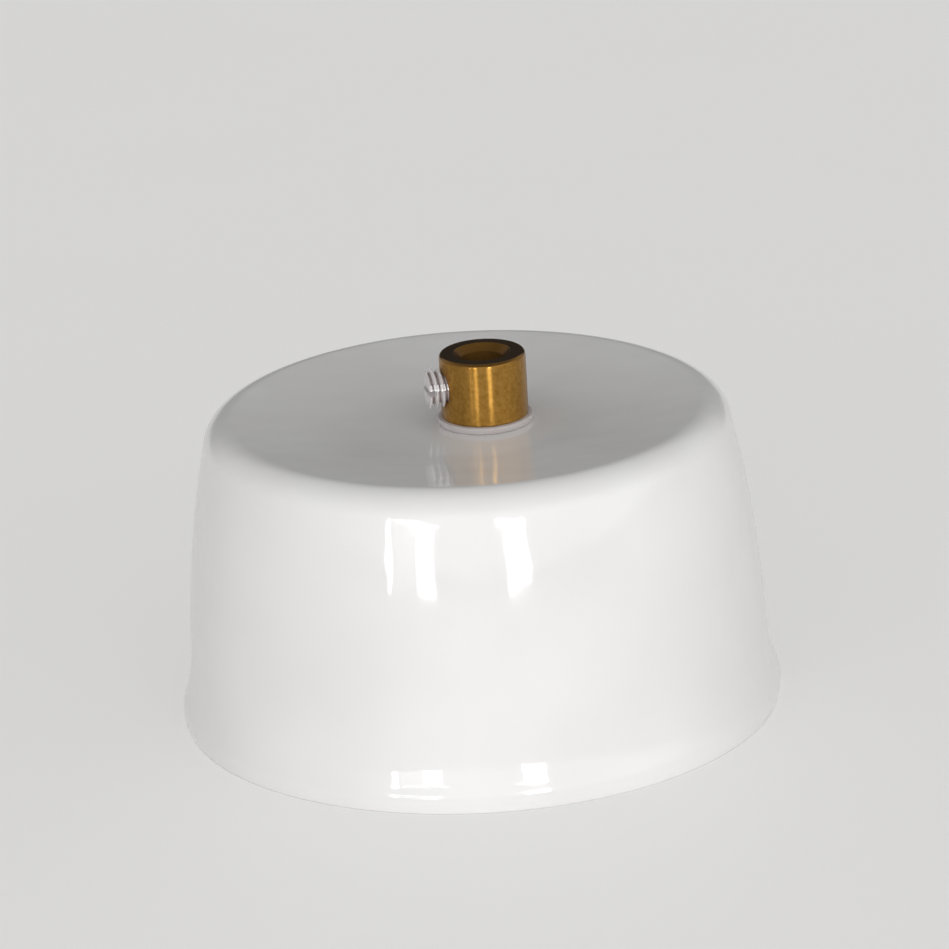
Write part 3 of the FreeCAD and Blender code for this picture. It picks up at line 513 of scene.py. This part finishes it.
# the mould's seam, a low rib along both sides that nearly fills the thread
seam_half, seam_radius, seam_turn, seam_rise = 0.6 * MM, 3.42 * MM, 0.3, 5
in_seam = np.abs(screw_crest * np.sin(angle + seam_turn)) < seam_half
seam_share = np.clip(seam_rise * (radius - screw_root) / (screw_crest - screw_root), 0, 1)
seam_fill = screw_root + (seam_radius - screw_root) * seam_share
radius = np.where(in_seam, np.maximum(radius, seam_fill), radius)
screw_points = capped_rod(along, radius, angle) + np.array([0, 0, screw_axis])
screw = grid_piece("clear_screw", screw_points, clear_nylon, "clamp_screw")
slot_corners = np.array(
    [
        [screw_low.x + slot_depth, -slot_width / 2],
        [screw_low.x - slot_depth, -slot_width / 2],
        [screw_low.x - slot_depth, slot_width / 2],
        [screw_low.x + slot_depth, slot_width / 2],
    ]
)
slot_bar = bpy.data.meshes.new("slot_bar")
bar_ends = [(x, side * 2 * screw_crest, screw_axis + z) for side in (-1, 1) for x, z in slot_corners]
slot_bar.from_pydata(
    bar_ends, [], [(3, 2, 1, 0), (4, 5, 6, 7), (1, 5, 4, 0), (2, 6, 5, 1), (3, 7, 6, 2), (0, 4, 7, 3)]
)
slot_cutter = bpy.data.objects.new("slot_bar", slot_bar)
bpy.context.scene.collection.objects.link(slot_cutter)
cut_by(screw, slot_cutter)
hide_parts("grip_screw")

# Threaded tube
# Hollow brass lamp tube with a rolled 10 mm thread of 1 mm pitch from end to end. It carries the cup
# from the strap, and the cord runs through it.
tube_low, tube_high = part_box("threaded_tube")
tube_radius, tube_root, tube_bore = (tube_high.x - tube_low.x) / 2, 4.4 * MM, 3.5 * MM
tube_pitch, tube_turns, bore_count = 1.0 * MM, 64, 24
clean_brass, worn_brass = (0.76, 0.54, 0.20), (0.58, 0.38, 0.13)
bright_brass = metal(
    "bright_brass",
    clean_brass,
    worn_brass,
    (0.18, 0.32),
    line_scale=7000.0,
    blotch_scale=300.0,
    line_depth=0.00002,
)
tube_length = tube_high.z - tube_low.z
along, radius, angle = thread_surface(
    tube_low.z, tube_length, tube_pitch, tube_root, tube_radius, turns=tube_turns, steps=8
)
bore_rows = np.linspace(tube_high.z, tube_low.z, bore_count)[:, None] + 0 * angle[:1]
along = np.concatenate([along, bore_rows])
radius = np.concatenate([radius, tube_bore + 0 * bore_rows])
angle = np.concatenate([angle, angle[:1] + 0 * bore_rows])
tube_points = np.stack([fittings_across + radius * np.cos(angle), radius * np.sin(angle), along], 2)
tube = grid_piece("threaded_lamp_tube", tube_points, bright_brass)
tube.data.set_sharp_from_angle(angle=math.radians(50))
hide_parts("threaded_tube")

# Steel, brass and moulded pieces inside
# Pressed and zinc-plated strap, nuts and washers, a brass earth terminal, and a satin nylon block with
# its brass barrels. They keep the solids' own shapes and take their finish here.
clean_zinc, scuffed_zinc = (0.66, 0.67, 0.69), (0.50, 0.51, 0.54)
zinc = metal(
    "bright_zinc",
    clean_zinc,
    scuffed_zinc,
    (0.22, 0.42),
    line_scale=2200.0,
    blotch_scale=160.0,
    line_depth=0.00001,
)


def moulded(name, first, second, gloss, scale, depth):
    """A moulded or pressed sheet stock: two near colours in a fine cloud, and a fine grain."""
    made, tree, shader = finish_named(name, IOR=1.5)
    cloud = node(tree, "ShaderNodeTexNoise", {"Vector": position_in(tree)}, Scale=scale, Detail=4.0)
    tree.links.new(blended(tree, cloud.outputs["Fac"], first, second), shader.inputs["Base Color"])
    tree.links.new(between(tree, cloud.outputs["Fac"], 0.0, 1.0, *gloss), shader.inputs["Roughness"])
    grained = node(tree, "ShaderNodeBump", {"Height": cloud.outputs["Fac"]}, Strength=0.25, Distance=depth)
    tree.links.new(grained.outputs["Normal"], shader.inputs["Normal"])
    return made


fibre_red, fibre_dark = (0.40, 0.10, 0.07), (0.27, 0.06, 0.045)
nylon_pale, nylon_cloudy = (0.86, 0.85, 0.79), (0.80, 0.79, 0.72)
fibre = moulded("red_fibre", fibre_red, fibre_dark, (0.55, 0.75), scale=900.0, depth=0.0001)
satin_nylon = moulded("satin_nylon", nylon_pale, nylon_cloudy, (0.32, 0.45), scale=600.0, depth=0.00004)
finishes = {
    "zinc_steel": zinc,
    "bright_brass": bright_brass,
    "red_fibre": fibre,
    "natural_nylon": satin_nylon,
}
replaced = {"ceramic_cover", "clear_washer", "cord_grip", "grip_screw", "threaded_tube"}
for part in frame["record"]["subparts"]:
    if part["node"] in replaced:
        continue
    solid = frame["nodes"][part["node"]]
    solid.data.materials.clear()
    solid.data.materials.append(finishes[part["material_slot"]])

# Floor
# A plain pale studio floor, lightly textured, that the rim stands on.
floor_half, pale_share = 3.0, 0.45
floor_dull, floor_bright, floor_seen = (0.86, 0.855, 0.845), (0.89, 0.885, 0.875), (0.94, 0.935, 0.925, 1)
floor_mesh = bpy.data.meshes.new("floor")
floor_mesh.from_pydata(
    [(x * floor_half, y * floor_half, 0) for x, y in ((-1, -1), (1, -1), (1, 1), (-1, 1))], [], [(0, 1, 2, 3)]
)
floor = bpy.data.objects.new("floor", floor_mesh)
bpy.context.scene.collection.objects.link(floor)
floor_paint, tree, shader = finish_named("floor_paint", Roughness=0.7)
mottle = node(tree, "ShaderNodeTexNoise", {"Vector": position_in(tree)}, Scale=12.0, Detail=3.0)
floor_colour = blended(tree, mottle.outputs["Fac"], floor_dull, floor_bright)
tree.links.new(floor_colour, shader.inputs["Base Color"])
# looked at, straight or mirrored, it is paler than its paint, and it lights the object no more
sight = node(tree, "ShaderNodeLightPath").outputs
through = {0: sight["Is Glossy Ray"], 1: sight["Is Transmission Ray"]}
mirrored = node(tree, "ShaderNodeMath", through, operation="MAXIMUM").outputs[0]
seen = node(tree, "ShaderNodeMath", {0: sight["Is Camera Ray"], 1: mirrored}, operation="MAXIMUM")
seen_share = node(tree, "ShaderNodeMath", {0: seen.outputs[0]}, operation="MULTIPLY")
seen_share.inputs[1].default_value = pale_share
pale = node(tree, "ShaderNodeEmission", Color=floor_seen).outputs[0]
pale_floor = node(tree, "ShaderNodeMixShader", {0: seen_share.outputs[0], 1: shader.outputs[0], 2: pale})
tree.links.new(pale_floor.outputs[0], tree.nodes["Material Output"].inputs["Surface"])
floor_mesh.materials.append(floor_paint)

# Light
# Two windows stand low in front, the left one in a frame, a dim and a bright half and a head light.
# The room is brightest low on the viewer's right, dim to the sides and behind, and a dark board
# stands straight behind the cup, so that the crown and the brass don't lose their edges.
view_turn, view_rise = math.radians(10.0), math.radians(19.70)
toward_viewer = np.array([-math.sin(view_turn), -math.cos(view_turn)])
to_right = np.array([math.cos(view_turn), -math.sin(view_turn)])
pane_distance, window_low, window_high, head_low = 0.6, 0.005, 0.1, 0.09


def pane(name, left, right, low, high, glow):
    """An upright lit pane between two angles to the right of the viewer and two heights."""
    lamp = bpy.data.lights.new(name, "AREA")
    width = 2 * pane_distance * math.tan(math.radians(right - left) / 2)
    lamp.shape, lamp.size, lamp.size_y = "RECTANGLE", width, high - low
    lamp.energy = glow * math.pi * width * (high - low)
    turned = math.radians(left + right) / 2
    ground = toward_viewer * math.cos(turned) + to_right * math.sin(turned)
    made = bpy.data.objects.new(name, lamp)
    made.location = (*(ground * pane_distance), (low + high) / 2)
    made.rotation_euler = (math.pi / 2, 0, math.atan2(ground[0], -ground[1]))
    made.visible_camera = False
    bpy.context.scene.collection.objects.link(made)


pane("left_frame", -34.0, -32.0, window_low, window_high, 11.0)
pane("left_dim_half", -31.0, -23.0, window_low, window_high, 1.5)
pane("left_bright_half", -22.5, -15.5, window_low, window_high, 12.5)
pane("left_head", -30.5, -13.5, head_low, window_high, 8.0)
pane("right_window", 12.0, 20.5, window_low, window_high, 15.0)
pane("right_head", 9.0, 21.5, head_low, window_high, 8.0)
world = bpy.data.worlds.new("studio")
world.use_nodes = True
bpy.context.scene.world = world
tree = world.node_tree
looking = node(tree, "ShaderNodeTexCoord").outputs["Generated"]


def toward(turn, low, high):
    """How far a direction looks towards an angle to the right of the viewer, from 0 to 1."""
    ground = toward_viewer * math.cos(math.radians(turn)) + to_right * math.sin(math.radians(turn))
    made = node(tree, "ShaderNodeVectorMath", {0: looking}, operation="DOT_PRODUCT")
    made.inputs[1].default_value = (*ground, 0)
    return between(tree, made.outputs["Value"], low, high, 0.0, 1.0)


rising = node(tree, "ShaderNodeSeparateXYZ", {"Vector": looking}).outputs["Z"]
front_room = ramp(tree, rising, (0.0, 1.0), (0.32, 1.0), (0.6, 0.22))
side_room = ramp(tree, rising, (0.0, 0.4), (0.5, 0.45), (0.8, 0.22))
back_room = ramp(tree, rising, (0.0, 0.4), (0.5, 0.4), (0.8, 0.22))
board = ramp(tree, rising, (0.0, 0.35), (0.07, 0.12), (0.2, 0.04))
room = blended(tree, toward(135.0, 0.2, 0.9), back_room, side_room)
room = blended(tree, toward(22.0, 0.1, 0.8), room, front_room)
room = blended(tree, toward(180.0, 0.68, 0.88), room, board)
tree.links.new(room, tree.nodes["Background"].inputs["Color"])
room_glow = 1.66
tree.nodes["Background"].inputs["Strength"].default_value = room_glow

# Camera
# The photograph's view: a long lens a little above the cup, tipped slightly about its own axis.
focal_pixels, frame_pixels, sensor = 5416.0, 949.0, 36.0
view_distance, aim_height = 18.0 * rim_radius, 0.45 * rim_radius
roll = math.radians(-3.3)
pixels_aside, pixels_above = 1.06, 96.18
back = np.array([*(toward_viewer * math.cos(view_rise)), math.sin(view_rise)])
level_right = np.array([*to_right, 0])
level_up = np.cross(back, level_right)
right = math.cos(roll) * level_right + math.sin(roll) * level_up
up = math.cos(roll) * level_up - math.sin(roll) * level_right
middle = np.array([0, 0, aim_height])
moved_by = up * pixels_above - right * pixels_aside
spot = middle + back * view_distance + moved_by * view_distance / focal_pixels
lens = bpy.data.cameras.new("view")
lens.sensor_width, lens.lens = sensor, sensor * focal_pixels / frame_pixels
lens.clip_start, lens.clip_end = 0.05, 20.0
camera = bpy.data.objects.new("view", lens)
turned = np.eye(4)
turned[:3, :3] = np.stack([right, up, back], 1)
turned[:3, 3] = spot
camera.matrix_world = Matrix(turned.tolist())
bpy.context.scene.collection.objects.link(camera)
bpy.context.scene.camera = camera
bpy.context.scene.view_settings.view_transform = "Standard"
